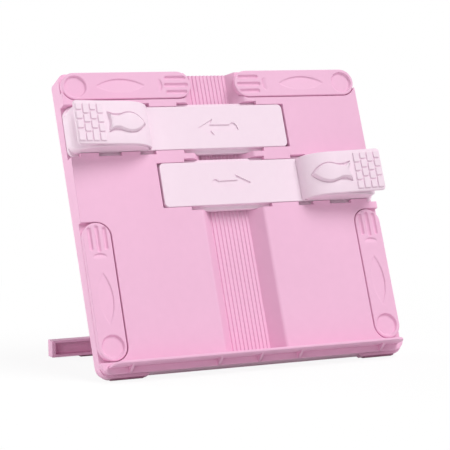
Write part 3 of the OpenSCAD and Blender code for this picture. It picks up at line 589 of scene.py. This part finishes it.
def draw_fish(bm, levels, waist):
    """A fish through (inset, rise) levels, its top and foot following the lever's bow."""
    layers = []
    for inset, rise in levels:
        side = fish_side(inset, waist)
        run = FISH_LEN - FISH_NOTCH - max(inset, 0) - inset
        spine = [(FISH_X + inset + run * i / FISH_STEPS, 0) for i in range(FISH_STEPS + 1)]
        rows = [side, spine, [(x, -y) for x, y in side]]
        layers.append(
            [[bm.verts.new((x, y, lever_top(x) + rise)) for x, y in row] for row in rows]
        )
    for layer in (layers[0], layers[-1]):
        for a, b in zip(layer, layer[1:]):
            for i in range(FISH_STEPS):
                bm.faces.new((a[i], a[i + 1], b[i + 1], b[i]))
    rims = [[rows[1][0], *rows[0], rows[1][-1], *reversed(rows[2])] for rows in layers]
    for low, high in zip(rims, rims[1:]):
        band(bm, low, high)


BRICK_COLUMNS = (109.8, 116, 122.2, 128.4)
BRICK_W = 5.3
BRICK_JOINTS = ((16.4, 6.8, -1, -8.9, -16.9), (16.4, 9.6, 1.9, -6.1, -16.9))
BRICK_GAP = 1.1
BRICK_RISE = 1.2
BRICK_EDGE = 0.55
BRICK_CORNER = 0.8
BRICK_ROOT = 0.6
BRICK_STEPS = 3


def draw_brick(bm, x0, x1, y0, y1):
    mid_x, mid_y = (x0 + x1) / 2, (y0 + y1) / 2
    levels = [(0, -BRICK_ROOT)]
    levels += [(d, BRICK_RISE - BRICK_EDGE + rise) for d, rise in quarter(BRICK_EDGE, BRICK_STEPS)]
    rings = []
    for inset, rise in levels:
        half_x, half_y = (x1 - x0) / 2 - inset, (y1 - y0) / 2 - inset
        plan = round_section(half_x, -half_y, half_y, BRICK_CORNER - inset / 2, BRICK_STEPS)
        rings.append([(mid_x + x, mid_y + y, lever_top(mid_x + x) + rise) for x, y in plan])
    stack(bm, rings)


def draw_lug(bm, y0, y1):
    """A lug that hangs from the lever, with the bore for its pin."""
    top = lever_low(PIN_X - LUG_R) + CLIP_T / 2 - PIN_Z
    outline, bore = [], []
    for a in np.linspace(0, 2 * math.pi, LUG_SIDES, endpoint=False):
        c, s = math.cos(a), math.sin(a)
        reach = min(LUG_R / max(abs(c), NEAR), top / s) if s > NEAR else LUG_R
        outline.append((PIN_X + reach * c, PIN_Z + reach * s))
        bore.append((PIN_X + PIN_BORE_R * c, PIN_Z + PIN_BORE_R * s))
    plan = [(outline, y0), (outline, y1), (bore, y1), (bore, y0)]
    loops = [[bm.verts.new((x, y, z)) for x, z in ring] for ring, y in plan]
    for low, high in zip(loops, loops[1:] + loops[:1]):
        band(bm, low, high)


def make_clip(name, side, y):
    moat = bmesh.new()
    draw_fish(moat, MOAT_LEVELS, MOAT_WAIST)
    bm = bmesh.new()
    draw_lever(bm)
    for part in (bm, moat):
        bmesh.ops.remove_doubles(part, verts=part.verts, dist=MERGE)
        bmesh.ops.recalc_face_normals(part, faces=part.faces)
    bm = carve(bm, moat)
    draw_fish(bm, FISH_LEVELS, FISH_WAIST)
    for i, x in enumerate(BRICK_COLUMNS):
        joints = BRICK_JOINTS[i % 2]
        for high, low in zip(joints, joints[1:]):
            draw_brick(bm, x, x + BRICK_W, low + BRICK_GAP / 2, high - BRICK_GAP / 2)
    draw_lug(bm, *LUG_Y)
    draw_lug(bm, -LUG_Y[1], -LUG_Y[0])
    add_piece(name + "_lever", bm, arm_place(side, y), PALE, name, name)


# Solids taken over from the CAD part, with rounded edges
CREASE = math.radians(40)
COPLANAR = math.radians(0.2)
BOARD_HALF = 135.5
BOARD_TALL = 255
PARTING_Z = -11.5
LEDGE_TOP_Y = 7.2
LEDGE_CLEAR = 1      # the ledge's own edges are farther than this from the face and its top edge
FACE_EDGE = 0.45
LEDGE_EDGE = 0.9
PARTING_EDGE = 0.3
LEG_EDGE = 0.4
LEG_EDGE_TOP = 16    # the leg's edges are rounded up to this height, round its foot bar
ARM_EDGE = 0.6
EDGE_STEPS = 3
PARTING_STEPS = 2
ARROW = [(20, -0.4), (5.8, 7.3), (8.6, 2.2), (-9.2, 1.9), (-11.3, 3.6), (-13.3, 3.5), (-15.6, 1.3),
         (-16.8, -3), (-12, -3), (8.6, -3), (5.8, -7.6)]
ARROW_DEPTH = 1.1
ARROW_FIELD = (22, 10)    # half size of the field round the arrow, whose edges stay sharp


def taken_over(name, place):
    """A CAD solid's own mesh in the millimetres of a frame, with its flat faces joined."""
    bm = bmesh.new()
    bm.from_mesh(nodes[name].data)
    bm.transform(place.inverted())
    bmesh.ops.remove_doubles(bm, verts=bm.verts, dist=MERGE)
    bmesh.ops.dissolve_limit(bm, angle_limit=COPLANAR, verts=bm.verts, edges=bm.edges)
    return bm


def round_edges(bm, width, chosen, segments=EDGE_STEPS):
    """Rounds the outer creases whose two ends both pass a test."""
    def picked(edge):
        crease = len(edge.link_faces) == 2 and edge.is_convex and edge.calc_face_angle() > CREASE
        return crease and all(chosen(*v.co) for v in edge.verts)

    bmesh.ops.bevel(bm, geom=[e for e in bm.edges if picked(e)], offset=width,
                    offset_type="OFFSET", segments=segments, profile=0.5, affect="EDGES",
                    clamp_overlap=False)


def round_parting(bm):
    """Rounds the parting line between the board and its cover."""
    def on_rim(x, y):
        return abs(x) > BOARD_HALF - NEAR or y > BOARD_TALL - NEAR or y < NEAR

    round_edges(bm, PARTING_EDGE, lambda x, y, z: abs(z - PARTING_Z) < NEAR and on_rim(x, y),
                PARTING_STEPS)


def make_board():
    bm = taken_over("front_board", BOARD)
    round_edges(bm, FACE_EDGE, lambda x, y, z: abs(z) < NEAR)
    round_edges(bm, LEDGE_EDGE, lambda x, y, z: z > LEDGE_CLEAR and abs(y - LEDGE_TOP_Y) < NEAR)
    round_edges(bm, FACE_EDGE, lambda x, y, z: z > LEDGE_CLEAR and y < LEDGE_TOP_Y - LEDGE_CLEAR)
    round_parting(bm)
    add_piece("front_board_shell", bm, BOARD, PINK, "board", "front_board")


def make_cover():
    bm = taken_over("back_cover", BOARD)
    round_parting(bm)
    add_piece("back_cover_shell", bm, BOARD, PINK, "board", "back_cover")


def make_leg():
    bm = taken_over("rear_leg", PART)
    round_edges(bm, LEG_EDGE, lambda x, y, z: z < LEG_EDGE_TOP)
    add_piece("rear_leg_shell", bm, PART, PINK, "leg", "rear_leg")


def make_arm(name, side, y):
    def off_arrow(x, y, z):
        return z > -NEAR and not (abs(x) < ARROW_FIELD[0] and abs(y) < ARROW_FIELD[1])

    place = arm_place(side, y)
    tool = bmesh.new()
    stack(tool, [[(px, py, z) for px, py in ARROW] for z in (-ARROW_DEPTH, ARROW_DEPTH)])
    bm = taken_over(name, place)
    for part in (bm, tool):
        bmesh.ops.recalc_face_normals(part, faces=part.faces)
    bm = carve(bm, tool)
    round_edges(bm, ARM_EDGE, off_arrow)
    add_piece(name + "_shell", bm, place, PALE, name, name)


def dress_nodes():
    """Finishes the CAD solids that no piece replaces: fasteners, springs and foot pads."""
    for name, node in nodes.items():
        node.data.materials.clear()
        node.data.materials.append(NODE_FINISH.get(name, STEEL))
        node.data.shade_smooth()
        node.data.set_sharp_from_angle(angle=SHARP)


# Light, floor and background, in metres and watts
FLOOR_HALF = 12
FLOOR_BOUNCE = 0.72         # grey that the floor throws back at the object
FLOOR_WHITE_NEAR = 0.9      # share of plain white seen beside the object, to keep its shadow light
FLOOR_NEAR, FLOOR_FAR = 0.3, 0.7
WORLD_FILL = 0.28
WHITE = (1, 1, 1, 1)
LAMPS = [
    # name, place, diameter, power
    ("key", (3.8, -4.8, 9.2), 7, 885),
    ("front", (-1.9, -2.1, 0.6), 1.4, 10),
    ("side", (-1.7, 0.3, 0.1), 0.9, 8),
    ("back", (-2.2, 2.2, 1.2), 1.6, 38),
]


def seen_directly(tree):
    """1 for rays that show the background: camera, glossy and transmitted ones."""
    path = tree.nodes.new("ShaderNodeLightPath")
    seen = path.outputs["Is Camera Ray"]
    for other in ("Is Glossy Ray", "Is Transmission Ray"):
        seen = combine(tree, "MAXIMUM", seen, path.outputs[other])
    return seen


def floor_material():
    """White, with a light shadow near the object and no horizon."""
    material = bpy.data.materials.new("studio_floor")
    material.use_nodes = True
    tree = material.node_tree
    tree.nodes.clear()
    seen = seen_directly(tree)
    lit = tree.nodes.new("ShaderNodeBsdfDiffuse")
    tree.links.new(remap(tree, seen, 0, 1, FLOOR_BOUNCE, 1), lit.inputs["Color"])
    white = tree.nodes.new("ShaderNodeEmission")
    away = tree.nodes.new("ShaderNodeVectorMath")
    away.operation = "LENGTH"
    tree.links.new(object_place(tree), away.inputs[0])
    share = remap(tree, away.outputs["Value"], FLOOR_NEAR, FLOOR_FAR, FLOOR_WHITE_NEAR, 1)
    mix = tree.nodes.new("ShaderNodeMixShader")
    tree.links.new(combine(tree, "MULTIPLY", seen, share), mix.inputs["Fac"])
    tree.links.new(lit.outputs[0], mix.inputs[1])
    tree.links.new(white.outputs[0], mix.inputs[2])
    out = tree.nodes.new("ShaderNodeOutputMaterial")
    tree.links.new(mix.outputs[0], out.inputs["Surface"])
    return material


def make_floor():
    mesh = bpy.data.meshes.new("studio_floor")
    corners = [(-FLOOR_HALF, -FLOOR_HALF, 0), (FLOOR_HALF, -FLOOR_HALF, 0),
               (FLOOR_HALF, FLOOR_HALF, 0), (-FLOOR_HALF, FLOOR_HALF, 0)]
    mesh.from_pydata(corners, [], [(0, 1, 2, 3)])
    mesh.materials.append(floor_material())
    floor = bpy.data.objects.new("studio_floor", mesh)
    scene.collection.objects.link(floor)


def make_world():
    """A white background that lights the object only faintly."""
    world = bpy.data.worlds.new("studio")
    world.use_nodes = True
    scene.world = world
    tree = world.node_tree
    background = tree.nodes["Background"]
    background.inputs["Color"].default_value = WHITE
    strength = remap(tree, seen_directly(tree), 0, 1, WORLD_FILL, 1)
    tree.links.new(strength, background.inputs["Strength"])


def make_lamps():
    aim = (cad_low + cad_high) / 2
    for name, at, size, power in LAMPS:
        data = bpy.data.lights.new(name, "AREA")
        data.shape = "DISK"
        data.size = size
        data.energy = power
        lamp = bpy.data.objects.new(name, data)
        scene.collection.objects.link(lamp)
        lamp.location = at
        lamp.rotation_euler = (lamp.location - aim).to_track_quat("Z", "Y").to_euler()
        lamp.visible_camera = False


make_camera()
make_floor()
make_world()
make_lamps()
dress_nodes()
make_wing("top_left_wing", -1, True, 1)
make_wing("top_right_wing", 1, True, 1)
make_wing("left_wing", -1, False, -1)
make_wing("right_wing", 1, False, 1)
make_board()
make_cover()
make_leg()
make_arm("upper_arm", -1, UPPER_ARM_Y)
make_arm("lower_arm", 1, LOWER_ARM_Y)
make_clip("upper_clip", -1, UPPER_ARM_Y)
make_clip("lower_clip", 1, LOWER_ARM_Y)
scene.view_settings.view_transform = "Standard"
